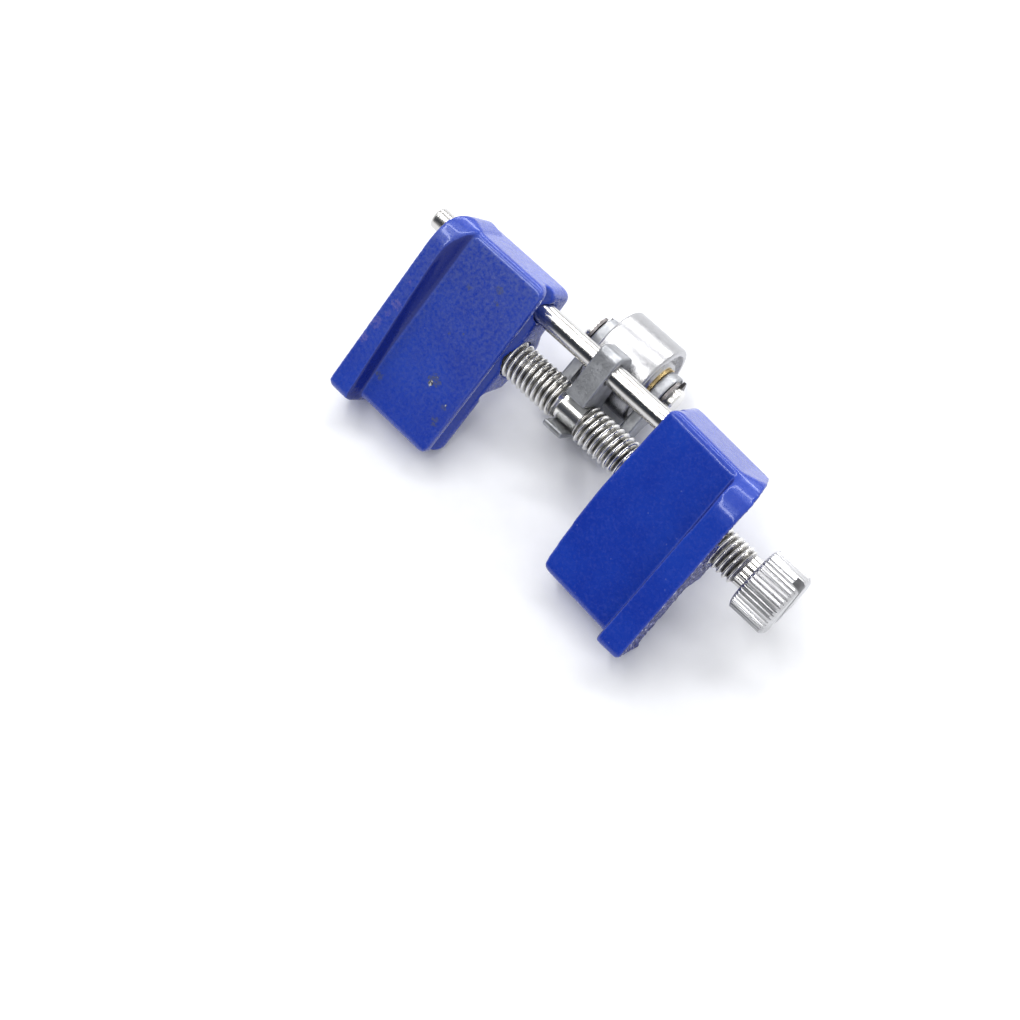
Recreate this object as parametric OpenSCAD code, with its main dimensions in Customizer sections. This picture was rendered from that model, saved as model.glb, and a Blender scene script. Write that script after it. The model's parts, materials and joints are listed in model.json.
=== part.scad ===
// Side-clamping honing guide. Two cast jaws travel on a clamp screw with left- and right-hand
// threads and on a guide rod. A carrier between them holds the screw's neck and the roller.
//
// Guide frame, in which every piece is drawn: X across the guide towards the knob, with 0 midway
// between the jaws; Y along the blade, with 0 at the front edge of the ledges; Z square to the
// blade, with 0 at the clamped blade's top face. standing() turns it into the part's own frame:
// the guide stands on its roller and on its two front toes, with +Z up and the origin where the
// roller touches the ground.

/* [Jaws] */
// Gap between the two rims as stored
gap = 30.4; // [12:0.1:39]
// Length of a ledge along the blade
jaw_len = 39.7; // [39:0.1:41]
// Width of a ledge, from its rim to the ridge
ledge_w = 17.5; // [15:0.5:20]
// Width of a ridge
ridge_w = 5.75; // [4.5:0.25:7]
// Height of a ledge above the clamped blade's top face
ledge_z = 1.5; // [1:0.1:2]
// Height of a ridge above the clamped blade's top face
ridge_z = 5; // [4:0.1:6]
// How far a ridge stands forward of its ledge
ridge_lead = 1.3; // [0.8:0.1:2]
// Radius of the ridge's fall to the rear
ridge_fall_r = 9; // [6:0.5:10]
// How far the left ridge stands out behind its ledge
left_tail = 1.6; // [0:0.1:2]
// How far the right ridge stands out behind its ledge
right_tail = 0.2; // [0:0.1:2]
// How far the right rim bows in at its middle
right_crown = 1; // [0:0.1:1.2]
// How far the left rim bows in at its middle
left_crown = 0.2; // [0:0.1:1.2]
// How far the right ledge's front edge lies behind the left one's, at the rim
right_setback = 0.6; // [0:0.1:1]
// Slant of the right ledge's front and rear edges, in degrees
right_skew = 3; // [0:0.5:4]
// How far the left ridge's inner wall leans outwards at its rear
left_lean = 2.4; // [0:0.1:3]
// How far the right ridge's inner wall leans outwards at its rear
right_lean = 0.4; // [0:0.1:3]
// Rounding of the left ridge's outer rear corner, seen from above
left_corner = 3; // [1:0.1:3.5]
// Rounding of the right ridge's outer rear corner, seen from above
right_corner = 1.2; // [1:0.1:3.5]
// Underside of the thin front arm
arm_z = -6.5; // [-7:0.1:-6]
// Underside of the deep rear block
block_z = -12.3; // [-12.4:0.1:-12]

/* [Clamp screw] */
// Outside diameter of the threads
thread_d = 8; // [7:0.5:8]
// Height of the screw's axis
screw_z = -8.5; // [-8.6:0.1:-8.4]
// Diameter of the knob
knob_d = 13.6; // [12:0.1:15]
// Length of the knob
knob_len = 8.2; // [7:0.1:10]
// Number of teeth round the knob
knob_teeth = 45; // [36:1:48]
// Angle of the knob's slot from the blade's direction, in degrees
slot_turn = 32; // [0:1:180]

/* [Guide rod] */
// Diameter of the rod
rod_d = 4.5; // [4:0.1:4.6]
// How far the rod stands out of the left jaw
rod_out = 6; // [3:0.5:12]

/* [Roller] */
// Radius of the roller
roller_r = 9; // [8:0.1:9]
// Width of the roller
roller_w = 12; // [10:0.5:14]

/* [Hidden] */
$fn = 64;

cut = 1;                     // how far a cutting shape runs past the face that it cuts
far = 60;                    // longer than any piece that it cuts
running = 0.05;              // radial clearance of a part that turns or slides
slice = 0.01;                // thickness of an end that a hull runs between

// Jaw
jaw_w = ledge_w + ridge_w;
edge_r = 1.6;                // rounding of the long edges that run across a jaw
toe_r = 1.5;                 // rounding of the toe that the guide stands on
corner_r = 2;                // rounding of a ledge's corners, seen from above
block_y = 16.6;              // front of the deep rear block
notch_y = 14.6;              // notch between the front arm and the rear block
notch_z = -4;
groove_mid_z = -2.7;         // V-groove that holds a chisel's edges
groove_half_h = 2.3;
groove_depth = 2.4;
boss_r = 6.8;                // boss round the clamp screw
panel_inset = 1.2;           // textured panel sunk into a jaw's outer face
panel_depth = 0.5;
pocket = [[4.5, 3], [16.5, 11.5]];   // lightening pocket under the front arm: low and high X, Y
pocket_depth = 3.4;
tail_z = -9.3;                       // underside of the ridge behind the clamp screw
tail_y = 31.5;                       // where that higher underside begins
tail_r = 3;
draft = 12;                          // lean of the outer face behind the clamp screw
draft_y = 25;                        // where the leaning face begins
draft_z = 3;                         // its upper edge
tail_slant = 1.3;                    // how far a tail's rear edge comes forward at the ledge
front_lean = 0.25;                   // share of its lean that an inner wall has at the front

// Clamp screw
screw_y = 23.8;
neck_d = 6;                  // plain neck that turns in the carrier
neck_half = 2.5;
thread_left = -41.5;         // left-hand tip of the screw
thread_right = gap / 2 + jaw_w + 4.95;
spline_d = 6.6;
spline_len = 1.95;           // splined shank between the thread and the knob
thread_chamfer = 0.6;
knob_x = thread_right + spline_len;
knob_grip = knob_len - 2.6;  // how far the shank reaches into the knob
knob_chamfer = 0.4;
tooth_depth = 0.42;
slot_w = 2;
slot_depth = 2;
knob_core = knob_d / 2 - tooth_depth - 0.1;   // radius of the turned core under the teeth

// Guide rod
rod_y = 34.7;
rod_z = -6.2;
rod_left = -(gap / 2 + jaw_w + rod_out);
rod_seat = gap / 2 + 17.8;   // blind end of the rod in the right jaw
rod_chamfer = 0.6;
pin_d = 2;
pin_x = gap / 2 + 13.6;
pin_top = -3.2;
pin_bottom = block_z + 0.2;
pin_wall = 0.4;

// Roller and carrier
roller_y = 34.6;
roller_z = -22;
roller_edge = 0.6;
dish = [5.6, 7.6];           // inner and outer radius of the hollow in each side of the roller
dish_depth = 1;
bush_d = 9;
axle_d = 6;
washer_t = 0.5;
washer_d = 9.4;
side_play = 0.05;
ear_in = roller_w / 2 + washer_t + 2 * side_play;
ear_t = 2.5;
ear_r = 4.6;
ear_out = ear_in + ear_t;
clip_t = 0.6;
clip_d = 9;
clip_gap = 0.1;
clip_mouth = 3.4;
axle_half = ear_out + 2.2;
groove_d = 5;
tongue_half = 2.3;
tongue_z = -3.3;             // top of the tongue, below the blade
web_y = [20.7, 24.3];        // cross web in front of the roller
web_z = [-19.7, -16.2];

// How far the guide leans back when it stands on its roller and toes
toe_y = -ridge_lead + toe_r;
toe_z = arm_z + toe_r;
toe_reach = norm([roller_y - toe_y, roller_z - toe_z]);
tilt = asin((roller_r - toe_r) / toe_reach) + atan2(toe_z - roller_z, roller_y - toe_y);
foot_y = roller_y - roller_r * sin(tilt);
foot_z = roller_z - roller_r * cos(tilt);

// An outline is a list of [x, y, corner radius]: rounded() turns each corner into an arc
function unit(v) = v / norm(v);
function spot(p) = [p[0], p[1]];
function corner(a, b, c, r, steps = 8) =
    let (u = unit(a - b), v = unit(c - b), half = acos(u * v) / 2,
         middle = b + unit(u + v) * r / sin(half),
         p = b + u * r / tan(half) - middle, q = b + v * r / tan(half) - middle,
         from = atan2(p[1], p[0]), sweep = (atan2(q[1], q[0]) - from + 540) % 360 - 180)
    [for (i = [0:steps]) middle + r * [cos(from + sweep * i / steps), sin(from + sweep * i / steps)]];
function rounded(points) =
    let (n = len(points))
    [for (i = [0:n - 1])
        let (p = points[i])
        each p[2] == 0
            ? [spot(p)]
            : corner(spot(points[(i + n - 1) % n]), spot(p), spot(points[(i + 1) % n]), p[2])];

// From the guide frame to the part's own frame
module standing() {
    rotate([tilt, 0, 0]) translate([0, -foot_y, -foot_z]) children();
}

// A side outline, drawn in Y and Z, made solid from x0 to x1
module across(x0, x1) {
    translate([x0, 0, 0]) rotate([90, 0, 90]) linear_extrude(x1 - x0) children();
}

// A round bar or hole along X
module bar(r, x0, x1, y, z) {
    translate([x0, y, z]) rotate([0, 90, 0]) cylinder(r = r, h = x1 - x0);
}

// A turned piece: radius against place along X, about an axis at y, z
module turned(outline, y, z) {
    translate([0, y, z]) rotate([0, 90, 0]) rotate_extrude() polygon(outline);
}

// The underside that ledge and ridge share, from the rear block's front to the arm
underside = [[block_y, block_z, 1], [notch_y, notch_z, 0.6], [notch_y - 1, arm_z, 0.6]];

module ledge_side(front) {
    polygon(rounded(concat([[front, arm_z, toe_r], [front, ledge_z, edge_r],
                            [jaw_len, ledge_z, edge_r], [jaw_len, block_z, edge_r]], underside)));
}

module ridge_side(rear) {
    polygon(rounded(concat([[-ridge_lead, arm_z, toe_r], [-ridge_lead, ridge_z, edge_r],
                            [rear, ridge_z, ridge_fall_r], [rear, tail_z, tail_r],
                            [tail_y, tail_z, 1], [tail_y, block_z, 1]], underside)));
}

// Sunk panel of the outer face: the ridge's outline moved in, open at the bottom
module panel_side(rear) {
    front = panel_inset - ridge_lead;
    top = ridge_z - panel_inset;
    polygon(rounded([[front, -far, 0], [front, top, 0.6],
                     [rear - panel_inset, top, ridge_fall_r - panel_inset],
                     [rear - panel_inset, -far, 0]]));
}

// A jaw seen from above, with its bowed rim along X = 0
module jaw_plan(crown, front, skew, rear, rear_corner) {
    stations = 9;
    slip = -ledge_w * tan(skew);
    tail_root = max(jaw_len + slip, rear - tail_slant);
    rim = [for (i = [1:stations - 1])
        [crown * pow(2 * i / stations - 1, 2), jaw_len * i / stations, 0]];
    polygon(rounded(concat([[crown, front, corner_r]], rim,
                           [[crown, jaw_len, corner_r], [ledge_w, jaw_len + slip, 0],
                            [ledge_w, tail_root, 0], [jaw_w, rear, rear_corner],
                            [jaw_w, -ridge_lead, corner_r - 0.5], [ledge_w, -ridge_lead, 0.5],
                            [ledge_w, front + slip, 0]])));
}

// V-groove along the rim, for the edges of a chisel
module rim_groove() {
    mouth = groove_half_h * (groove_depth + cut) / groove_depth;
    translate([0, far, 0]) rotate([90, 0, 0]) linear_extrude(2 * far)
        polygon([[groove_depth, groove_mid_z], [-cut, groove_mid_z + mouth],
                 [-cut, groove_mid_z - mouth]]);
}

// The outer face leans inwards behind the clamp screw
module leaning_face() {
    drop = far / 2;
    translate([0, draft_y + far, 0]) rotate([90, 0, 0]) linear_extrude(far)
        polygon([[jaw_w, draft_z], [jaw_w + cut, draft_z], [jaw_w + cut, draft_z - drop],
                 [jaw_w - drop * tan(draft), draft_z - drop]]);
}

module lightening_pocket() {
    corner_round = 1.5;
    plan = [for (c = [[0, 0], [1, 0], [1, 1], [0, 1]]) [pocket[c[0]][0], pocket[c[1]][1], corner_round]];
    translate([0, 0, arm_z - cut]) linear_extrude(pocket_depth + cut) polygon(rounded(plan));
}

// What a ridge's inner wall leaves free above the ledge: the wall leans more towards its rear
module beside_ridge(lean, rear) {
    root = ledge_z - cut;
    slope = 1 / (ridge_z - ledge_z);
    hull()
        for (end = [[-ridge_lead - cut, front_lean * lean], [rear + cut, lean]])
            translate([ledge_w, end[0], 0]) rotate([90, 0, 0]) linear_extrude(slice)
                polygon([[-cut * slope * end[1], root], [(ridge_z + cut - ledge_z) * slope * end[1],
                         ridge_z + cut], [-2 * cut, ridge_z + cut], [-2 * cut, root]]);
}

// One jaw casting, with its rim along X = 0 and its outer face at X = jaw_w
module jaw(crown, front, skew, tail, lean, rear_corner) {
    rear = jaw_len + tail;
    difference() {
        intersection() {
            union() {
                rotate([0, 0, -skew]) across(-cut, jaw_w - cut) ledge_side(front);
                difference() {
                    across(ledge_w, jaw_w) ridge_side(rear);
                    beside_ridge(lean, rear);
                }
                bar(boss_r, 0, jaw_w, screw_y, screw_z);
            }
            translate([0, 0, -far / 2]) linear_extrude(far)
                jaw_plan(crown, front, skew, rear, rear_corner);
        }
        across(jaw_w - panel_depth, jaw_w + cut) panel_side(rear);
        leaning_face();
        rim_groove();
        lightening_pocket();
        bar(thread_d / 2 + running, -cut, jaw_w + cut, screw_y, screw_z);
    }
}

module left_jaw() {
    color("royalblue") standing() mirror([1, 0, 0]) translate([gap / 2, 0, 0])
        difference() {
            jaw(left_crown, 0, 0, left_tail, left_lean, left_corner);
            bar(rod_d / 2 + running, -cut, jaw_w + cut, rod_y, rod_z);
        }
}

module right_jaw() {
    color("royalblue") standing()
        difference() {
            translate([gap / 2, 0, 0])
                jaw(right_crown, right_setback, right_skew, right_tail, right_lean, right_corner);
            bar(rod_d / 2, 0, rod_seat, rod_y, rod_z);
            translate([pin_x, rod_y, block_z - cut]) cylinder(d = pin_d, h = pin_top - block_z + cut);
        }
}

// Left-hand thread on the knob's side, right-hand thread on the far side, plain neck between
module clamp_screw() {
    r = thread_d / 2;
    root = r - thread_chamfer;
    color("gainsboro") standing()
        turned([[0, thread_left], [root, thread_left], [r, thread_left + thread_chamfer],
                [r, -neck_half - thread_chamfer], [root, -neck_half], [neck_d / 2, -neck_half],
                [neck_d / 2, neck_half], [root, neck_half], [r, neck_half + thread_chamfer],
                [r, thread_right - thread_chamfer], [root, thread_right],
                [spline_d / 2, thread_right], [spline_d / 2, knob_x + knob_grip],
                [0, knob_x + knob_grip]], screw_y, screw_z);
}

module knob_teeth_plan() {
    step = 360 / knob_teeth;
    flat = 0.3 * step;
    polygon([for (i = [0:knob_teeth - 1])
        each [for (p = [[-flat, 0], [flat, 0], [step / 2, tooth_depth]])
            (knob_d / 2 - p[1]) * [cos(i * step + p[0]), sin(i * step + p[0])]]]);
}

module screw_knob() {
    end = knob_x + knob_len;
    color("silver") standing()
        difference() {
            union() {
                translate([knob_x + knob_chamfer, screw_y, screw_z]) rotate([0, 90, 0])
                    linear_extrude(knob_len - 2 * knob_chamfer) knob_teeth_plan();
                turned([[0, knob_x], [knob_core - knob_chamfer, knob_x],
                        [knob_core, knob_x + knob_chamfer], [knob_core, end - knob_chamfer],
                        [knob_core - knob_chamfer, end], [0, end]], screw_y, screw_z);
            }
            bar(spline_d / 2, knob_x - cut, knob_x + knob_grip, screw_y, screw_z);
            translate([end - slot_depth, screw_y, screw_z]) rotate([slot_turn, 0, 0])
                translate([0, -knob_d, -slot_w / 2]) cube([slot_depth + cut, 2 * knob_d, slot_w]);
        }
}

module guide_rod() {
    r = rod_d / 2;
    color("lightgray") standing()
        difference() {
            turned([[0, rod_left], [r - rod_chamfer, rod_left], [r, rod_left + rod_chamfer],
                    [r, rod_seat], [0, rod_seat]], rod_y, rod_z);
            translate([pin_x, rod_y, block_z - cut]) cylinder(d = pin_d, h = far);
        }
}

// Spring pin that holds the rod in the right jaw, driven in from below
module guide_rod_pin() {
    color("dimgray") standing()
        translate([pin_x, rod_y, pin_bottom])
            difference() {
                cylinder(d = pin_d, h = pin_top - pin_bottom);
                translate([0, 0, -cut]) cylinder(d = pin_d - 2 * pin_wall, h = far);
                translate([0, -pin_wall / 2, -cut]) cube([pin_d, pin_wall, far]);
            }
}

// Upright tongue between the jaws: an open saddle for the screw's neck and a bore for the rod
module tongue() {
    across(-tongue_half, tongue_half)
        polygon(rounded([[19.3, tongue_z, 1], [38.6, tongue_z, 1.5], [38.6, -11.2, 3],
                         [27.5, -13.2, 3], [25.3, -17, 1], [web_y[1], -17, 0],
                         [web_y[1], web_z[0], 0], [web_y[0], web_z[0], 1], [19.3, -13, 3]]));
}

// One side of the fork, from the web back round the axle
module ear() {
    across(ear_in, ear_out) {
        polygon([[web_y[0], web_z[1]], [25, web_z[1]], [roller_y + 1, roller_z + ear_r - 0.1],
                 [roller_y - 1.2, roller_z - ear_r + 0.2], [web_y[0], web_z[0]]]);
        translate([roller_y, roller_z]) circle(r = ear_r);
    }
}

module roller_carrier() {
    color("darkgray") standing()
        difference() {
            union() {
                tongue();
                across(-ear_out, ear_out) polygon(rounded([
                    [web_y[0], web_z[0], 0.8], [web_y[0], web_z[1], 0.8],
                    [web_y[1], web_z[1], 0.8], [web_y[1], web_z[0], 0.8]]));
                ear();
                mirror([1, 0, 0]) ear();
            }
            bar(neck_d / 2 + running, -neck_half, neck_half, screw_y, screw_z);
            translate([-neck_half, screw_y - neck_d / 2 - running, screw_z])
                cube([2 * neck_half, neck_d + 2 * running, far]);
            bar(rod_d / 2 + running, -neck_half, neck_half, rod_y, rod_z);
            bar(axle_d / 2, -far, far, roller_y, roller_z);
        }
}

module roller() {
    half = roller_w / 2;
    color("lightgray") standing()
        turned([[bush_d / 2, -half], [dish[0], -half], [dish[0] + 0.3, -half + dish_depth],
                [dish[1] - 0.3, -half + dish_depth], [dish[1], -half],
                [roller_r - roller_edge, -half], [roller_r, -half + roller_edge],
                [roller_r, half - roller_edge], [roller_r - roller_edge, half],
                [dish[1], half], [dish[1] - 0.3, half - dish_depth],
                [dish[0] + 0.3, half - dish_depth], [dish[0], half], [bush_d / 2, half]],
               roller_y, roller_z);
}

module roller_bush() {
    half = roller_w / 2;
    bore = axle_d / 2 + running;
    color("darkgoldenrod") standing()
        turned([[bore, -half], [bush_d / 2, -half], [bush_d / 2, half], [bore, half]],
               roller_y, roller_z);
}

// Axle with a groove at each end for its clip
module roller_axle() {
    r = axle_d / 2;
    g = groove_d / 2;
    groove_x = ear_out + clip_gap;
    groove_end = groove_x + clip_t + clip_gap;
    chamfer = 0.4;
    right = [[r, groove_x], [g, groove_x], [g, groove_end], [r, groove_end],
             [r, axle_half - chamfer], [r - chamfer, axle_half], [0, axle_half]];
    left = [for (i = [len(right) - 1:-1:0]) [right[i][0], -right[i][1]]];
    color("silver") standing() turned(concat(left, right), roller_y, roller_z);
}

module roller_washers() {
    x = roller_w / 2 + side_play;
    color("gold") standing()
        for (x0 = [x, -x - washer_t])
            difference() {
                bar(washer_d / 2, x0, x0 + washer_t, roller_y, roller_z);
                bar(axle_d / 2 + running, x0 - cut, x0 + washer_t + cut, roller_y, roller_z);
            }
}

// Open clips, one in each groove of the axle
module axle_clips() {
    x = ear_out + 1.5 * clip_gap;
    color("dimgray") standing()
        for (x0 = [x, -x - clip_t])
            difference() {
                bar(clip_d / 2, x0, x0 + clip_t, roller_y, roller_z);
                bar(groove_d / 2, x0 - cut, x0 + clip_t + cut, roller_y, roller_z);
                translate([x0 - cut, roller_y, roller_z - clip_mouth / 2])
                    cube([clip_t + 2 * cut, clip_d, clip_mouth]);
            }
}

left_jaw();
right_jaw();
clamp_screw();
screw_knob();
guide_rod();
guide_rod_pin();
roller_carrier();
roller();
roller_bush();
roller_axle();
roller_washers();
axle_clips();
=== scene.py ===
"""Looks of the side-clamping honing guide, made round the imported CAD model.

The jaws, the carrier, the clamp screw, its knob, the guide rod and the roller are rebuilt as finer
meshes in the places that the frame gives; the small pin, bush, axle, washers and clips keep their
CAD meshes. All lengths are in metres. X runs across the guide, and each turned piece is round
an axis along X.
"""

import json
import math

import bmesh
import bpy
import numpy as np
from mathutils import Matrix, Vector, noise


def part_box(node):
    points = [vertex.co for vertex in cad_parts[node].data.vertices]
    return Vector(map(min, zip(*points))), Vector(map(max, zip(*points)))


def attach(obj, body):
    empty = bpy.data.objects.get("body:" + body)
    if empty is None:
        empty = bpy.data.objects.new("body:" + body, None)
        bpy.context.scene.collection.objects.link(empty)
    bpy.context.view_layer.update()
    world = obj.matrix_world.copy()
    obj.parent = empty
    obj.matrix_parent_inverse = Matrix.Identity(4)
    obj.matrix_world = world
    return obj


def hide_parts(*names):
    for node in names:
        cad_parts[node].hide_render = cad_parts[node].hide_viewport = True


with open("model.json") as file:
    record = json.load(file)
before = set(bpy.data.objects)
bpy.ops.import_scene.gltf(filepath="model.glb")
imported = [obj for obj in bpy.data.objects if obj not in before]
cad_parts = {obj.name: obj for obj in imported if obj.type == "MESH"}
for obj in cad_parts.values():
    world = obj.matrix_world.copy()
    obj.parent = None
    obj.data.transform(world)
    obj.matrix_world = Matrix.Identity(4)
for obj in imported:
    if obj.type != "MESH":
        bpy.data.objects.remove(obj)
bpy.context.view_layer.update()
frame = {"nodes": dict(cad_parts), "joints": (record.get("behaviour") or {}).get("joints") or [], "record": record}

MM = 0.001

# Clamp screw: rolled thread, plain neck in the middle and splined shank next to the knob
THREAD_R = 4 * MM
THREAD_DEPTH = 0.76 * MM
THREAD_STEPS = 10              # stations in one pitch
CREST_FULLNESS = 0.8           # below 1, the crests are fuller than the roots
NECK_HALF = 2.5 * MM
NECK_R = 3 * MM
SPLINE_TEETH = 16
SPLINE_LENGTH = 1.95 * MM
SPLINE_R = 3.3 * MM
SPLINE_DEPTH = 0.32 * MM
SPLINE_FLANK = 1.8             # how steeply a tooth's flanks fall
SPLINE_SPOKES = 8              # spokes of the mesh for each tooth
SHANK_IN_KNOB = 1 * MM

# Knob: straight knurl, turned down at both ends, with a driver's slot
KNOB_TEETH = 45
KNOB_SPOKES = 10               # spokes of the mesh for each tooth
TOOTH_DEPTH = 0.42 * MM
TOOTH_LAND = 0.45              # share of a tooth that is flat on top
KNOB_BEVEL = 0.55 * MM
SLOT_TURN = math.radians(32)   # from the direction of the clamped blade
SLOT_WIDTH = 2 * MM
SLOT_DEPTH = 2 * MM
SLOT_FLARE = 1.15              # how much wider the slot is at its mouth

# Guide rod and roller
ROD_ROUNDING = 0.7 * MM
ROLLER_EDGE = 0.6 * MM
DISH_IN = 5.6 * MM             # inner and outer radius of the hollow in each side of the roller
DISH_OUT = 7.6 * MM
DISH_DEPTH = 1 * MM
DISH_SOFT = 0.15 * MM          # size of the bevels round it
DISH_SLOPE = 0.4 * MM          # how far its walls lean

# Castings: voxel size and smoothing steps of their skins
JAW_SKIN = (0.28 * MM, 9)
CARRIER_SKIN = (0.2 * MM, 8)
WELD = 0.0001 * MM             # points of a turned mesh that are closer than this are one
STIPPLE_SIZE = 0.8 * MM
STIPPLE_DEPTH = 0.16 * MM
STIPPLE_FACING = 0.80          # how squarely a surface faces outwards where its stipple begins
PANEL_REACH = 3.2 * MM         # how far in from a jaw's outermost point its stipple goes

# Linear colours
PAPER = (0.90, 0.905, 0.92)    # the studio floor and what is behind it
STUDIO_DARK = (0.05, 0.055, 0.07)
PALE_GRAIN = (0.06, 0.085, 0.40)
PALE_SPECK = (0.17, 0.20, 0.48)
# painted highlight: a lighter blue on convex edges
EDGE_HIGHLIGHT_BLUE = (0.04, 0.08, 0.48)
# painted shade: a darker blue in concave hollows and creases
HOLLOW_SHADE_BLUE = (0.004, 0.010, 0.13)
# painted shade: a near black blue on the ridges' inner walls
WALL_SHADE_BLUE = (0.001, 0.006, 0.13)
# sharpening swarf, with a painted sheen
DUST_AND_SHEEN = (0.14, 0.17, 0.30)
SCUFF = (0.15, 0.13, 0.34)
SMUDGE = (0.07, 0.08, 0.12)
BRIGHT_STEEL = (0.80, 0.79, 0.76)
GREASE = (0.07, 0.065, 0.06)


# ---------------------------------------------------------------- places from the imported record


def named(rows, name):
    """The row of that name in one of the record's lists."""
    return next(row for row in rows if row["name"] == name)


def x_of(name):
    """Lowest and highest X of a CAD node."""
    low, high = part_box(name)
    return low.x, high.x


def axis_of(name):
    """Y and Z of the axis that a CAD node is round."""
    low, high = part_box(name)
    return (low.y + high.y) / 2, (low.z + high.z) / 2


def radius_of(name):
    """Radius of a CAD node that is round an axis along X."""
    low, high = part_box(name)
    return (high.z - low.z) / 2


def thread_end():
    """Where the thread stops short of the knob, at the start of the splined shank."""
    return x_of("screw_knob")[0] - SPLINE_LENGTH


record = frame["record"]
ledge_up = Vector(named(record["mounts"], "left_ledge")["axis"]).normalized()
across = Vector((1, 0, 0))
along = ledge_up.cross(across)
screw_yz = tuple(named(frame["joints"], "screw_turn")["pos_m"][1:])
roller_yz = tuple(named(frame["joints"], "roller_spin")["pos_m"][1:])
coupling = next(c for c in record["behaviour"]["couplings"] if c["joint"] == "screw_turn")
pitch = 2 * math.pi / abs(coupling["ratio"])


# ---------------------------------------------------------------- camera, floor and light


# The camera: where it stands, which way it looks and which way is right in its picture. These
# numbers come from a least-squares fit to the photograph, made by another script
CAMERA_AT = (0.0715, -0.11775, 0.26711)
CAMERA_FORWARD = Vector((-0.24014, 0.28646, -0.92751))
CAMERA_RIGHT = Vector((0.70246, 0.71073, 0.03764))
CAMERA_LENS = 53.07                        # in millimetres, before a sensor 36 mm wide

LIT_POINT = Vector((0, -0.015, 0.015))     # what the lights are turned to
DARK_TOWARD = (-0.24, -0.80, 0.62)         # middle of the studio's dark opening
DARK_EDGE = (0.72, 0.93)                   # cosines of the angles from there, where it fades out and in
FLOOR_REACH = 3.0
FLOOR_FADE = (0.2, 0.8)                    # where the paper starts and ends fading into the backdrop


def make_camera():
    """The viewpoint: above, in front and to the right of the guide."""
    right = (CAMERA_RIGHT - CAMERA_FORWARD * CAMERA_RIGHT.dot(CAMERA_FORWARD)).normalized()
    up = right.cross(CAMERA_FORWARD)
    data = bpy.data.cameras.new("camera")
    data.sensor_width = 36
    data.lens = CAMERA_LENS
    data.clip_start = 0.01
    camera = bpy.data.objects.new("camera", data)
    turn = Matrix((right, up, -CAMERA_FORWARD)).transposed().to_4x4()
    camera.matrix_world = Matrix.Translation(CAMERA_AT) @ turn
    bpy.context.scene.collection.objects.link(camera)
    bpy.context.scene.camera = camera


def softbox(name, toward, distance, size, power):
    """An area light that faces the guide from the direction toward."""
    toward = Vector(toward).normalized()
    data = bpy.data.lights.new(name, "AREA")
    data.shape = "RECTANGLE"
    data.size, data.size_y = size
    data.energy = power
    light = bpy.data.objects.new(name, data)
    light.location = toward * distance + LIT_POINT
    light.rotation_euler = toward.to_track_quat("Z", "Y").to_euler()
    bpy.context.scene.collection.objects.link(light)


def make_lights():
    """Three long strips, seen as the thin lines along the rounded rear edges."""
    softbox("strip_above", (-0.24, -0.235, 0.933), 0.55, (0.60, 0.055), 1.4)
    softbox("strip_rear", (-0.24, 0.857, 0.458), 0.55, (0.60, 0.07), 1.7)
    softbox("strip_middle", (-0.24, 0.42, 0.86), 0.58, (0.60, 0.05), 1.2)


def make_world():
    """Pale studio walls, with a darker opening in front of the ledges and above the horizon."""
    world = bpy.data.worlds.new("studio")
    world.use_nodes = True
    tree = world.node_tree
    tree.nodes.clear()
    outwards = node(tree, "ShaderNodeTexCoord").outputs["Generated"]
    front = component(tree, outwards, Vector(DARK_TOWARD).normalized())
    tone = ramp(tree, front, [(DARK_EDGE[0], PAPER), (DARK_EDGE[1], STUDIO_DARK)])
    walls = node(tree, "ShaderNodeBackground", Color=tone, Strength=1.0)
    out = node(tree, "ShaderNodeOutputWorld")
    tree.links.new(walls.outputs[0], out.inputs["Surface"])
    bpy.context.scene.world = world


def make_floor():
    """A square of paper at Z 0, which the guide stands on."""
    mesh = bpy.data.meshes.new("floor")
    corners = [(x * FLOOR_REACH, y * FLOOR_REACH, 0) for x, y in ((-1, -1), (1, -1), (1, 1), (-1, 1))]
    mesh.from_pydata(corners, [], [(0, 1, 2, 3)])
    mesh.materials.append(floor_paper())
    floor = bpy.data.objects.new("floor", mesh)
    bpy.context.scene.collection.objects.link(floor)


# ---------------------------------------------------------------- shader nodes


def node(tree, kind, settings=None, **inputs):
    """A new shader node. An input that is an output socket is linked, and any other is set."""
    made = tree.nodes.new(kind)
    for key, value in (settings or {}).items():
        setattr(made, key, value)
    for key, value in inputs.items():
        socket = made.inputs[key.replace("_", " ")]
        if isinstance(value, bpy.types.NodeSocket):
            tree.links.new(value, socket)
        else:
            socket.default_value = value
    return made


def ramp(tree, factor, stops):
    """Colour that follows a factor through stops of (place, colour)."""
    made = node(tree, "ShaderNodeValToRGB", Fac=factor)
    points = made.color_ramp.elements
    while len(points) < len(stops):
        points.new(0.5)
    for point, (place, colour) in zip(points, stops):
        point.position = place
        point.color = (*colour, 1)
    return made.outputs["Color"]


def mapped(tree, factor, low, high, to_low, to_high):
    """Number that goes from to_low to to_high as the factor goes from low to high."""
    made = node(tree, "ShaderNodeMapRange", Value=factor)
    for key, value in (("From Min", low), ("From Max", high), ("To Min", to_low), ("To Max", to_high)):
        made.inputs[key].default_value = value
    return made.outputs["Result"]


def blended(tree, factor, first, second):
    """Mix of two colours, each a socket or a colour."""
    made = tree.nodes.new("ShaderNodeMix")
    made.data_type = "RGBA"
    for socket, value in ((made.inputs[0], factor), (made.inputs[6], first), (made.inputs[7], second)):
        if isinstance(value, bpy.types.NodeSocket):
            tree.links.new(value, socket)
        else:
            socket.default_value = value if isinstance(value, float) else (*value, 1)
    return made.outputs[2]


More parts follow.
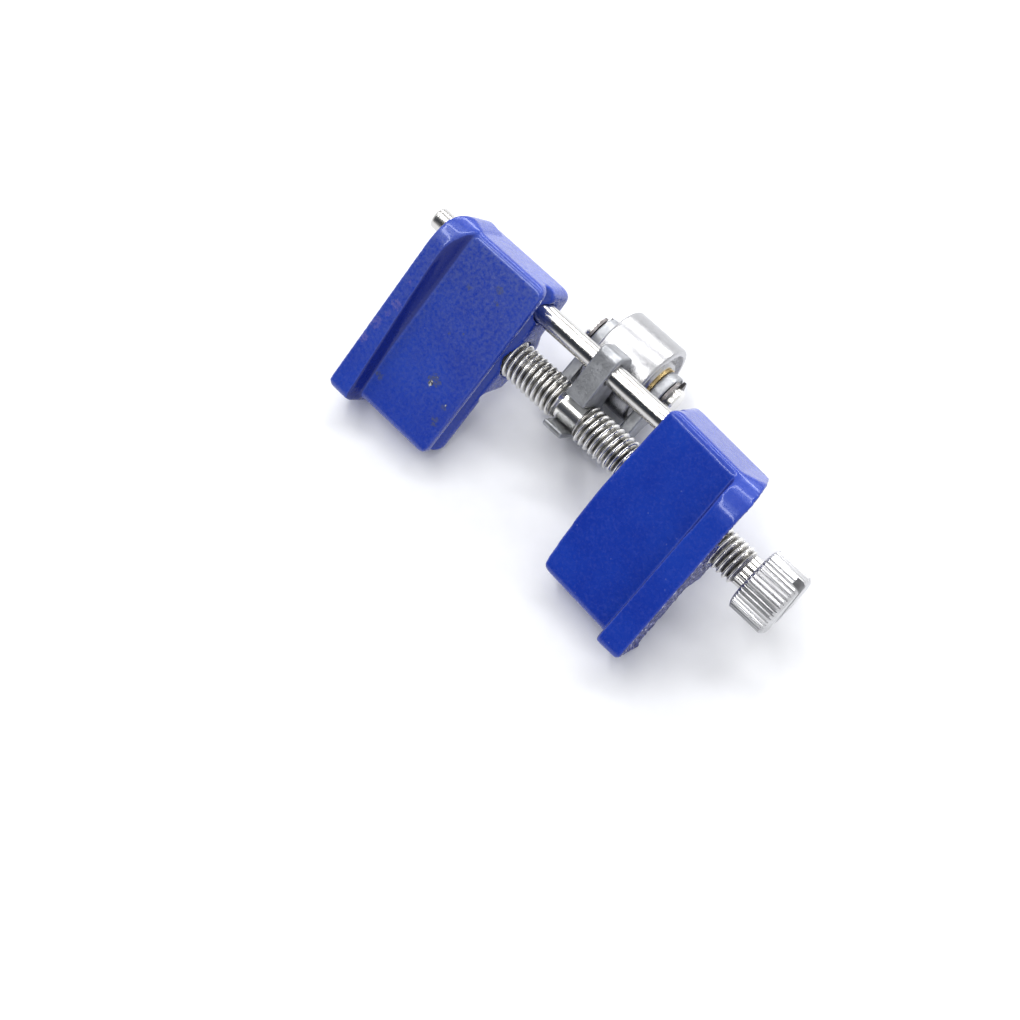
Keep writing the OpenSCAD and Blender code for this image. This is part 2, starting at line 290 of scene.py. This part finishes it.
def combine(tree, operation, first, second):
    """Sum, product or other pairing of two numbers, each a socket or a number."""
    made = node(tree, "ShaderNodeMath", {"operation": operation})
    for socket, value in zip(made.inputs, (first, second)):
        if isinstance(value, bpy.types.NodeSocket):
            tree.links.new(value, socket)
        else:
            socket.default_value = value
    return made.outputs[0]


def times(tree, first, second):
    """Product of two numbers, each a socket or a number."""
    return combine(tree, "MULTIPLY", first, second)


def component(tree, vector, axis):
    """How far a vector goes along a unit axis."""
    made = node(tree, "ShaderNodeVectorMath", {"operation": "DOT_PRODUCT"})
    tree.links.new(vector, made.inputs[0])
    made.inputs[1].default_value = axis
    return made.outputs["Value"]


def distance_from(tree, place, centre):
    """Distance of a place from a point."""
    made = node(tree, "ShaderNodeVectorMath", {"operation": "DISTANCE"})
    tree.links.new(place, made.inputs[0])
    made.inputs[1].default_value = centre
    return made.outputs["Value"]


def distance_from_screw(tree, place):
    """Distance of a place from the clamp screw's axis."""
    flat = node(tree, "ShaderNodeVectorMath", {"operation": "MULTIPLY"})
    tree.links.new(place, flat.inputs[0])
    flat.inputs[1].default_value = (0, 1, 1)
    return distance_from(tree, flat.outputs[0], (0, *screw_yz))


def place_in(tree, stretch=(1, 1, 1)):
    """The piece's own coordinates, scaled on each axis."""
    place = node(tree, "ShaderNodeTexCoord")
    return node(tree, "ShaderNodeMapping", Vector=place.outputs["Object"], Scale=stretch).outputs[0]


def speckle(tree, place, size, detail=3.0, roughness=0.5):
    """Noise whose features are about size across."""
    made = node(tree, "ShaderNodeTexNoise", Vector=place, Scale=0.7 / size, Detail=detail,
                Roughness=roughness)
    return made.outputs["Fac"]


def finish_of(material, colour, roughness, metallic=0.0, bump=None, bump_depth=0.0, **sockets):
    """A material whose colour and roughness may be sockets from its own tree; see begin()."""
    tree = material.node_tree
    shader = node(tree, "ShaderNodeBsdfPrincipled", Base_Color=colour, Roughness=roughness,
                  Metallic=metallic, **sockets)
    if bump is not None:
        lift = node(tree, "ShaderNodeBump", Height=bump, Strength=1.0, Distance=bump_depth)
        tree.links.new(lift.outputs[0], shader.inputs["Normal"])
    out = node(tree, "ShaderNodeOutputMaterial")
    tree.links.new(shader.outputs[0], out.inputs["Surface"])
    return material


def begin(name):
    """A new empty material and its node tree."""
    material = bpy.data.materials.new(name)
    material.use_nodes = True
    material.node_tree.nodes.clear()
    return material, material.node_tree


# ---------------------------------------------------------------- materials


# Chips and smudges of the left ledge and scuffs of the left ridge: places across and along from
# the middle of the ledge, and size, in millimetres. Half of the places are another script's
# numbers, worked out from points picked in the photograph. The others were moved from such a
# place, or added, and the sizes were chosen one by one
CHIPS = [(1.0, -8.0, 0.6), (1.6, -6.3, 0.25), (6.1, -9.3, 0.15), (-8.1, -14.3, 0.15)]
SMUDGES = [(1.0, 14.0, 0.9), (6.1, -9.6, 0.7), (-8.1, -14.0, 0.8), (0.4, 3.4, 0.4), (-1.9, 1.6, 0.3),
           (-4.2, 10.6, 0.5), (6.2, -13.2, 0.9), (1.4, -7.2, 1.4), (2.2, 11.8, 0.6)]
SCUFFS = [(-12.4, -0.3, 1.2), (-12.7, -2.6, 0.7), (-13.7, -5.4, 1.3), (-14.0, -9.3, 1.1),
          (-12.6, 5.0, 0.6)]
RIDGE_LIFT = 3.5 * MM      # height of the ridge above the ledge
LEDGE_HALF = 20 * MM       # half of a ledge's length


def spot_mask(tree, place, lift, spots, raggedness):
    """1 in each spot of the left jaw, lift above its ledge, with ragged edges."""
    middle = Vector(named(record["mounts"], "left_ledge")["pos_m"]) + ledge_up * lift
    ragged = times(tree, speckle(tree, place, 0.5 * MM, 3.0), raggedness)
    total = None
    for right, forward, size in spots:
        centre = middle + across * (right * MM) + along * (forward * MM)
        reach = combine(tree, "SUBTRACT", distance_from(tree, place, centre), size * MM)
        reach = combine(tree, "ADD", reach, ragged)
        spot = mapped(tree, reach, 0.40 * raggedness, 0.50 * raggedness, 1.0, 0.0)
        total = spot if total is None else combine(tree, "MAXIMUM", total, spot)
    return total


def dust_and_sheen(tree, place, normal):
    """Sharpening swarf and a painted sheen on the left jaw's upper faces, thickest towards the rear."""
    middle = along.dot(Vector(named(record["mounts"], "left_ledge")["pos_m"]))
    thick = mapped(tree, component(tree, place, along), middle - LEDGE_HALF, middle + 0.9 * LEDGE_HALF,
                   0.06, 0.24)
    mottle = mapped(tree, speckle(tree, place, 0.45 * MM, 5.0, 0.8), 0.38, 0.62, 0.1, 1.9)
    lying = mapped(tree, component(tree, normal, ledge_up), 0.6, 0.95, 0.0, 1.0)
    left = mapped(tree, component(tree, place, across), -1 * MM, 1 * MM, 1.0, 0.0)
    return times(tree, times(tree, thick, mottle), times(tree, lying, left))


def inner_wall_shade(tree, place, normal):
    """1 on the walls of the ridges that face the guide's middle, where shade is painted."""
    inwards = times(tree, component(tree, normal, across), component(tree, place, across))
    return mapped(tree, inwards, -24 * MM, -17 * MM, 1.0, 0.0)


def speckled_blue(tree, place, grain):
    """The enamel's own colour: faint clouds, a fine pale grain and a few pale specks."""
    cloud = speckle(tree, place, 7 * MM)
    colour = ramp(tree, cloud, [(0.3, (0.005, 0.026, 0.290)), (0.7, (0.008, 0.040, 0.350))])
    colour = blended(tree, mapped(tree, grain, 0.48, 0.72, 0.0, 0.40), colour, PALE_GRAIN)
    cells = node(tree, "ShaderNodeTexVoronoi", Vector=place, Scale=1 / (1.7 * MM))
    near = mapped(tree, cells.outputs["Distance"], 0.04, 0.11, 1.0, 0.0)
    pick = mapped(tree, speckle(tree, place, 3 * MM, 0.0), 0.52, 0.6, 0.0, 0.45)
    return blended(tree, times(tree, near, pick), colour, PALE_SPECK)


def worn(tree, place, grain, colour, chips):
    """The colour with the left jaw's scuffs and smudges, and with bare metal in its chips."""
    scuffs = spot_mask(tree, place, RIDGE_LIFT, SCUFFS, 1.6 * MM)
    scuffs = times(tree, scuffs, mapped(tree, grain, 0.4, 0.6, 0.0, 0.5))
    smudges = spot_mask(tree, place, 0, SMUDGES, 2.4 * MM)
    smudges = times(tree, smudges, mapped(tree, grain, 0.38, 0.58, 0.0, 0.85))
    metal = ramp(tree, grain, [(0.45, (0.04, 0.045, 0.07)), (0.62, (0.62, 0.62, 0.60))])
    for mask, mark in ((scuffs, SCUFF), (smudges, SMUDGE), (chips, metal)):
        colour = blended(tree, mask, colour, mark)
    return colour


def enamel():
    """Thick glossy blue enamel on a casting, with faint specks, sharpening swarf and a painted sheen, scuffs and a
    few chips, painted shade in its hollows and on the ridges' inner walls, and painted highlights on its edges.
    """
    material, tree = begin("blue_enamel")
    place = place_in(tree)
    geometry = node(tree, "ShaderNodeNewGeometry")
    normal, bend = geometry.outputs["Normal"], geometry.outputs["Pointiness"]
    grain = speckle(tree, place, 0.35 * MM, 4.0, 0.7)
    edge = mapped(tree, bend, 0.52, 0.60, 0.0, 0.6)
    hollow = mapped(tree, bend, 0.40, 0.49, 1.0, 0.0)
    wall_shade = inner_wall_shade(tree, place, normal)
    chips = spot_mask(tree, place, 0, CHIPS, 1.1 * MM)

    colour = speckled_blue(tree, place, grain)
    # Painted highlight: convex edges, found by pointiness, are mixed towards a lighter blue
    colour = blended(tree, edge, colour, EDGE_HIGHLIGHT_BLUE)
    # Painted shade: concave hollows and creases, found by pointiness, are mixed towards a darker blue
    colour = blended(tree, times(tree, hollow, 0.8), colour, HOLLOW_SHADE_BLUE)
    # Sharpening swarf with a painted sheen: a grey veil on the left jaw's upper faces, thicker towards the rear
    colour = blended(tree, dust_and_sheen(tree, place, normal), colour, DUST_AND_SHEEN)
    # Painted shade: the ridges' inner walls are darkened to near black
    colour = blended(tree, times(tree, wall_shade, 0.85), colour, WALL_SHADE_BLUE)
    colour = worn(tree, place, grain, colour, chips)

    rough = mapped(tree, speckle(tree, place, 1.2 * MM), 0.3, 0.7, 0.22, 0.32)
    foot = times(tree, hollow, combine(tree, "SUBTRACT", 1.0, wall_shade))
    rough = combine(tree, "ADD", rough, times(tree, foot, 0.35))
    peel = combine(tree, "SUBTRACT", speckle(tree, place, 1.0 * MM, 2.0), chips)
    return finish_of(material, colour, rough, bump=peel, bump_depth=0.025 * MM,
                     Coat_Weight=0.3, Coat_Roughness=0.07, IOR=1.5,
                     Specular_Tint=(0.55, 0.65, 1.0, 1))


def stippled_enamel():
    """The same enamel where it lies thin and dull over a coarse cast stipple, with painted highlights on its lumps
    and painted shade in its pits.
    """
    material, tree = begin("stippled_enamel")
    place = place_in(tree)
    grain = speckle(tree, place, 0.5 * MM, 2.0, 0.6)
    # Painted light: the colour follows the stipple's height, near black blue in its pits as painted shade and pale
    # on its lumps as painted highlights
    colour = ramp(tree, grain, [(0.46, (0.006, 0.010, 0.10)), (0.55, (0.020, 0.034, 0.29)),
                                (0.60, (0.08, 0.10, 0.40)), (0.65, (0.70, 0.70, 0.82))])
    rough = mapped(tree, grain, 0.35, 0.65, 0.55, 0.22)
    return finish_of(material, colour, rough, bump=grain, bump_depth=0.30 * MM)


def plated(name, colour, rough, grain=(1, 1, 1), depth=0.01 * MM, size=0.5 * MM):
    """Nickel plate: a pale metal with streaks that follow how the piece was machined."""
    material, tree = begin(name)
    place = place_in(tree, grain)
    streak = speckle(tree, place, size, 4.0, 0.6)
    stain = speckle(tree, place_in(tree), 2.5 * MM)
    darker = tuple(c * 0.8 for c in colour)
    tint = blended(tree, mapped(tree, stain, 0.35, 0.7, 0.0, 0.7), colour, darker)
    roughness = mapped(tree, streak, 0.3, 0.7, rough * 0.75, rough * 1.3)
    return finish_of(material, tint, roughness, 1.0, streak, depth)


def thread_steel():
    """Plated thread with dark grease left in its roots and between the splines."""
    material, tree = begin("bright_plated_steel")
    place = place_in(tree)
    radius = distance_from_screw(tree, place)
    x = component(tree, place, across)
    fade = 0.3 * MM
    off_neck = mapped(tree, combine(tree, "ABSOLUTE", x, 0.0), NECK_HALF, NECK_HALF + fade, 0.0, 1.0)
    off_spline = mapped(tree, x, thread_end() - fade, thread_end(), 1.0, 0.0)
    on_spline = combine(tree, "SUBTRACT", 1.0, off_spline)

    roots = mapped(tree, radius, 3.3 * MM, 3.75 * MM, 1.0, 0.0)
    roots = times(tree, roots, mapped(tree, speckle(tree, place, 2 * MM), 0.3, 0.6, 0.5, 1.0))
    roots = times(tree, roots, times(tree, off_neck, off_spline))
    grooves = mapped(tree, radius, SPLINE_R - SPLINE_DEPTH, SPLINE_R - 0.1 * MM, 0.9, 0.0)
    grease = combine(tree, "MAXIMUM", roots, times(tree, grooves, on_spline))

    colour = blended(tree, grease, BRIGHT_STEEL, GREASE)
    rough = combine(tree, "ADD", 0.20, times(tree, grease, 0.25))
    return finish_of(material, colour, rough, 1.0, speckle(tree, place, 0.4 * MM), 0.003 * MM)


def casting(name, colour, rough):
    """Bare cast metal with a fine sandy skin."""
    material, tree = begin(name)
    place = place_in(tree)
    sand = speckle(tree, place, 0.35 * MM, 4.0, 0.6)
    cloud = speckle(tree, place, 3 * MM)
    darker = tuple(c * 0.6 for c in colour)
    tint = blended(tree, mapped(tree, cloud, 0.35, 0.65, 0.0, 1.0), colour, darker)
    return finish_of(material, tint, mapped(tree, sand, 0.3, 0.7, rough * 0.8, rough * 1.2), 0.85,
                     sand, 0.05 * MM)


def floor_paper():
    """White paper that fades into the pale backdrop further out."""
    material, tree = begin("floor_paper")
    place = place_in(tree)
    grain = speckle(tree, place, 4 * MM)
    colour = ramp(tree, grain, [(0.3, (0.80, 0.805, 0.82)), (0.7, (0.83, 0.835, 0.85))])
    paper = node(tree, "ShaderNodeBsdfDiffuse", Color=colour)
    backdrop = node(tree, "ShaderNodeEmission", Color=(*PAPER, 1), Strength=1.0)
    fade = mapped(tree, distance_from(tree, place, (0, 0, 0)), FLOOR_FADE[0], FLOOR_FADE[1], 0, 1)
    both = node(tree, "ShaderNodeMixShader", Fac=fade)
    tree.links.new(paper.outputs[0], both.inputs[1])
    tree.links.new(backdrop.outputs[0], both.inputs[2])
    out = node(tree, "ShaderNodeOutputMaterial")
    tree.links.new(both.outputs[0], out.inputs["Surface"])
    return material


RINGS = (40, 1, 1)         # streaks round a turned piece: fine along X, long round it
DRAWN = (0.05, 1, 1)       # streaks along X


def make_materials():
    """Every finish, by the name of the record's material slot or of the piece's own layer."""
    return {
        "blue_enamel": enamel(),
        "stippled_enamel": stippled_enamel(),
        "bright_plated_steel": thread_steel(),
        "satin_plated_steel": plated("satin_plated_steel", (0.62, 0.62, 0.63), 0.34, DRAWN),
        "polished_rod": plated("polished_rod", (0.64, 0.63, 0.61), 0.12, RINGS),
        "spring_steel": plated("spring_steel", (0.16, 0.15, 0.15), 0.38),
        "cast_carrier": casting("cast_carrier", (0.42, 0.43, 0.45), 0.42),
        "ground_roller": plated("ground_roller", (0.46, 0.46, 0.47), 0.28, RINGS),
        "bronze": plated("bronze", (0.60, 0.36, 0.16), 0.32, RINGS),
        "brass_washer": plated("brass_washer", (0.80, 0.60, 0.28), 0.28),
    }


# ---------------------------------------------------------------- meshes


def piece(name, mesh, body, slot, *nodes):
    """A new piece that stands for CAD nodes, rides on a body and takes a slot's finish."""
    made = bpy.data.objects.new(name, mesh)
    bpy.context.scene.collection.objects.link(made)
    mesh.materials.clear()
    mesh.materials.append(materials[slot])
    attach(made, body)
    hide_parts(*nodes)
    return made


def shade(form, crease=40):
    """Smooth shading that keeps edges sharper than crease degrees."""
    for face in form.faces:
        face.smooth = True
    for edge in form.edges:
        edge.smooth = len(edge.link_faces) == 2 and edge.calc_face_angle() < math.radians(crease)


def skin_points(mesh):
    """A mesh's points, one to a row."""
    co = np.empty(len(mesh.vertices) * 3, np.float64)
    mesh.vertices.foreach_get("co", co)
    return co.reshape(-1, 3)


def neighbours(mesh):
    """The two points of each edge of a mesh."""
    pairs = np.empty(len(mesh.edges) * 2, np.int64)
    mesh.edges.foreach_get("vertices", pairs)
    return pairs.reshape(-1, 2)


def softened(co, pairs, steps):
    """Points moved towards the mean of their neighbours, which rounds edges and fills corners."""
    ends = np.concatenate([pairs, pairs[:, ::-1]])
    count = np.bincount(ends[:, 0], minlength=len(co))[:, None]
    for _ in range(steps):
        mean = np.stack([np.bincount(ends[:, 0], co[ends[:, 1], k], len(co)) for k in range(3)], 1)
        co = co + 0.5 * (mean / count - co)
    return co


def cast_skin(source, voxel, steps):
    """A CAD node's mesh as an even skin with its edges rounded, as a casting's are."""
    mesh = frame["nodes"][source].data.copy()
    model = bpy.data.objects.new("skin", mesh)
    bpy.context.scene.collection.objects.link(model)
    remesh = model.modifiers.new("remesh", "REMESH")
    remesh.mode = "VOXEL"
    remesh.voxel_size = voxel
    graph = bpy.context.evaluated_depsgraph_get()
    even = bpy.data.meshes.new_from_object(model.evaluated_get(graph))
    bpy.data.objects.remove(model)
    bpy.data.meshes.remove(mesh)
    co = softened(skin_points(even), neighbours(even), steps)
    even.vertices.foreach_set("co", co.ravel())
    even.update()
    even.polygons.foreach_set("use_smooth", np.ones(len(even.polygons), bool))
    return even


def roughened(co, normals, chosen, size, depth):
    """Points pushed in along their normals by a coarse noise, where chosen is above 0."""
    level = 0.6                # lumps that reach this stay level with the face
    for i in np.flatnonzero(chosen > 0):
        at = Vector(co[i]) / size
        lump = noise.noise(at) + 0.6 * noise.noise(at * 2.3)
        co[i] += normals[i] * depth * chosen[i] * (min(lump, level) - level)
    return co


def vertex_normals(mesh):
    """A mesh's normals at its points, one to a row."""
    found = np.empty(len(mesh.vertices) * 3, np.float64)
    mesh.vertices.foreach_get("normal", found)
    return found.reshape(-1, 3)


def eased(values, start, width):
    """0 up to start, 1 past start + width, and even between them."""
    return np.clip((values - start) / width, 0, 1)


def make_jaw(source):
    """A jaw casting: glossy all round but for its outer face, which is stippled."""
    mesh = cast_skin(source, *JAW_SKIN)
    side = -1 if x_of(source)[0] < 0 else 1
    outermost = max(side * x for x in x_of(source))
    co, normals = skin_points(mesh), vertex_normals(mesh)
    facing = eased(side * normals[:, 0], STIPPLE_FACING, 0.12)
    near = eased(side * co[:, 0], outermost - PANEL_REACH, 0.6 * MM)
    stippled = facing * near
    co = roughened(co, normals, stippled, STIPPLE_SIZE, STIPPLE_DEPTH)
    mesh.vertices.foreach_set("co", co.ravel())
    mesh.update()
    piece(source + "_casting", mesh, source, "blue_enamel", source)
    mesh.materials.append(materials["stippled_enamel"])
    for face in mesh.polygons:
        if np.mean(stippled[list(face.vertices)]) > 0.5:
            face.material_index = 1


def turned(name, stations, centre, spokes, crease=40):
    """A closed mesh round X. stations(turn) gives (x, radius) from end to end at a share of a turn."""
    form = bmesh.new()
    rows = []
    for k in range(spokes):
        turn = k / spokes
        c, s = math.cos(2 * math.pi * turn), math.sin(2 * math.pi * turn)
        rows.append([form.verts.new((x, centre[0] + r * c, centre[1] + r * s))
                     for x, r in stations(turn)])
    for a, b in zip(rows, rows[1:] + rows[:1]):
        for i in range(len(a) - 1):
            form.faces.new((a[i], a[i + 1], b[i + 1], b[i]))
    bmesh.ops.remove_doubles(form, verts=form.verts, dist=WELD)
    bmesh.ops.dissolve_degenerate(form, edges=form.edges, dist=WELD)
    bmesh.ops.recalc_face_normals(form, faces=form.faces)
    shade(form, crease)
    mesh = bpy.data.meshes.new(name)
    form.to_mesh(mesh)
    form.free()
    return mesh


def thread_rise(share):
    """Height of a rolled thread, 0 at its root and 1 at its full crest, at a share of the pitch."""
    wave = 0.5 - 0.5 * math.cos(2 * math.pi * share)
    return wave ** CREST_FULLNESS


def thread(low, high, minor, hand, turn):
    """Stations of a thread from low to high. Past either end they gather at the end's corner."""
    found = []
    for k in range(-1, math.ceil((high - low) / pitch) + 1):
        for step in range(THREAD_STEPS):
            share = step / THREAD_STEPS
            x = low + pitch * (k + share + (turn if hand > 0 else 1 - turn))
            inside = min(max(x, low), high)
            r = minor + (THREAD_R - minor) * thread_rise(share)
            found.append((inside, min(r, minor + inside - low, minor + high - inside)))
    return found


def make_screw():
    """The clamp screw: threads of both hands, plain neck and splined shank."""
    left = x_of("clamp_screw")[0]
    shoulder = thread_end()
    right = x_of("screw_knob")[0] + SHANK_IN_KNOB
    minor = THREAD_R - THREAD_DEPTH

    def stations(turn):
        off_crest = abs((turn * SPLINE_TEETH) % 1 - 0.5) * 2
        spline = SPLINE_R - SPLINE_DEPTH * (1 - min(1, off_crest * SPLINE_FLANK))
        return ([(left, 0)] + thread(left, -NECK_HALF, minor, 1, turn)
                + [(-NECK_HALF, NECK_R), (NECK_HALF, NECK_R)]
                + thread(NECK_HALF, shoulder, minor, -1, turn)
                + [(shoulder, spline), (right, spline), (right, 0)])

    mesh = turned("clamp_screw", stations, screw_yz, SPLINE_TEETH * SPLINE_SPOKES, crease=75)
    piece("screw_thread", mesh, "screw", "bright_plated_steel", "clamp_screw")


def make_knob():
    """The knurled knob, turned down at both ends and slotted."""
    near, far = x_of("screw_knob")
    r = radius_of("screw_knob")
    face = r - KNOB_BEVEL

    def stations(turn):
        off_crest = abs((turn * KNOB_TEETH) % 1 - 0.5) * 2
        outer = r - TOOTH_DEPTH * max(0, off_crest - TOOTH_LAND) / (1 - TOOTH_LAND)
        return [(near, 0), (near, face - 0.1 * MM), (near + 0.3 * MM, min(outer, r - 0.2 * MM)),
                (near + KNOB_BEVEL, outer), (far - 0.8 * MM, outer),
                (far - 0.35 * MM, min(outer, r - 0.3 * MM)), (far, face - 0.2 * MM),
                (far, 0.4 * r), (far, 0)]

    mesh = turned("screw_knob", stations, screw_yz, KNOB_TEETH * KNOB_SPOKES, crease=30)
    knob = piece("screw_knob_turned", mesh, "screw", "satin_plated_steel", "screw_knob")
    cut_slot(knob, far, r)


def cut_slot(knob, end, r):
    """A driver's slot across the knob's end."""
    run = Matrix.Rotation(SLOT_TURN, 3, across) @ along
    side = run.cross(across)
    middle = Vector((end, *screw_yz))
    form = bmesh.new()
    bmesh.ops.create_cube(form, size=1)
    for v in form.verts:
        deep, wide, long = v.co
        flare = SLOT_FLARE if deep > 0 else 1
        v.co = (middle + across * (deep * 2 * SLOT_DEPTH) + side * (wide * SLOT_WIDTH * flare)
                + run * (long * 3 * r))
    mesh = bpy.data.meshes.new("slot_cutter")
    form.to_mesh(mesh)
    form.free()
    cutter = bpy.data.objects.new("slot_cutter", mesh)
    bpy.context.scene.collection.objects.link(cutter)
    bite = knob.modifiers.new("slot", "BOOLEAN")
    bite.operation = "DIFFERENCE"
    bite.solver = "EXACT"
    bite.object = cutter
    settle(knob)
    bpy.data.objects.remove(cutter)


def settle(made):
    """Applies a piece's modifiers, so that its mesh is what shows."""
    graph = bpy.context.evaluated_depsgraph_get()
    mesh = bpy.data.meshes.new_from_object(made.evaluated_get(graph))
    made.modifiers.clear()
    made.data = mesh


def quarter(steps):
    """Sine and 1 - cosine at even steps of a quarter turn, for the rounding of an edge."""
    angles = [math.pi / 2 * i / steps for i in range(steps + 1)]
    return [(math.sin(a), 1 - math.cos(a)) for a in angles]


def make_rod():
    """The polished guide rod, with its free end rounded."""
    left, right = x_of("guide_rod")
    r = radius_of("guide_rod")
    inner = r - ROD_ROUNDING
    outline = [(left, 0), (left, inner)]
    outline += [(left + ROD_ROUNDING * fall, inner + ROD_ROUNDING * rise) for rise, fall in quarter(6)]
    outline += [(right, r), (right, 0)]
    mesh = turned("guide_rod", lambda turn: outline, axis_of("guide_rod"), 96)
    piece("guide_rod_polished", mesh, "right_jaw", "polished_rod", "guide_rod")


def make_roller():
    """The ground roller, with a dished hollow in each side and its bore round the bush."""
    low, high = x_of("roller")
    half = (high - low) / 2
    r = radius_of("roller")
    bore = radius_of("roller_bush")
    lip = 0.2 * MM
    floor_x = half - DISH_DEPTH
    slope_x = floor_x + 0.1 * MM
    shoulder = DISH_SOFT + 0.1 * MM
    right = [(half, bore + lip), (half, DISH_IN - DISH_SOFT), (half - DISH_SOFT, DISH_IN),
             (slope_x, DISH_IN + shoulder), (floor_x, DISH_IN + DISH_SLOPE),
             (floor_x, DISH_OUT - DISH_SLOPE), (slope_x, DISH_OUT - shoulder),
             (half - DISH_SOFT, DISH_OUT), (half, DISH_OUT + DISH_SOFT), (half, r - ROLLER_EDGE)]
    right += [(half - ROLLER_EDGE * fall, r - ROLLER_EDGE * (1 - rise)) for rise, fall in quarter(5)[1:]]
    outline = [(-half + lip, bore)]
    outline += [(-x, radius) for x, radius in right]
    outline += right[::-1]
    outline += [(half - lip, bore), outline[0]]
    mesh = turned("roller", lambda turn: outline, roller_yz, 128)
    piece("roller_ground", mesh, "roller", "ground_roller", "roller")


def make_carrier():
    """The cast carrier between the jaws."""
    mesh = cast_skin("roller_carrier", *CARRIER_SKIN)
    piece("roller_carrier_casting", mesh, "carrier", "cast_carrier", "roller_carrier")


def finish_small_nodes():
    """CAD nodes that stay as they are take their slot's material."""
    for name in ("guide_rod_pin", "roller_bush", "roller_axle", "roller_washers", "axle_clips"):
        kept = frame["nodes"][name]
        slot = kept.material_slots[0].material.name
        kept.data.materials[0] = materials[slot]


# ---------------------------------------------------------------- the scene

bpy.context.scene.view_settings.view_transform = "Standard"
materials = make_materials()
make_camera()
make_world()
make_lights()
make_floor()
make_jaw("left_jaw")
make_jaw("right_jaw")
make_screw()
make_knob()
make_rod()
make_roller()
make_carrier()
finish_small_nodes()
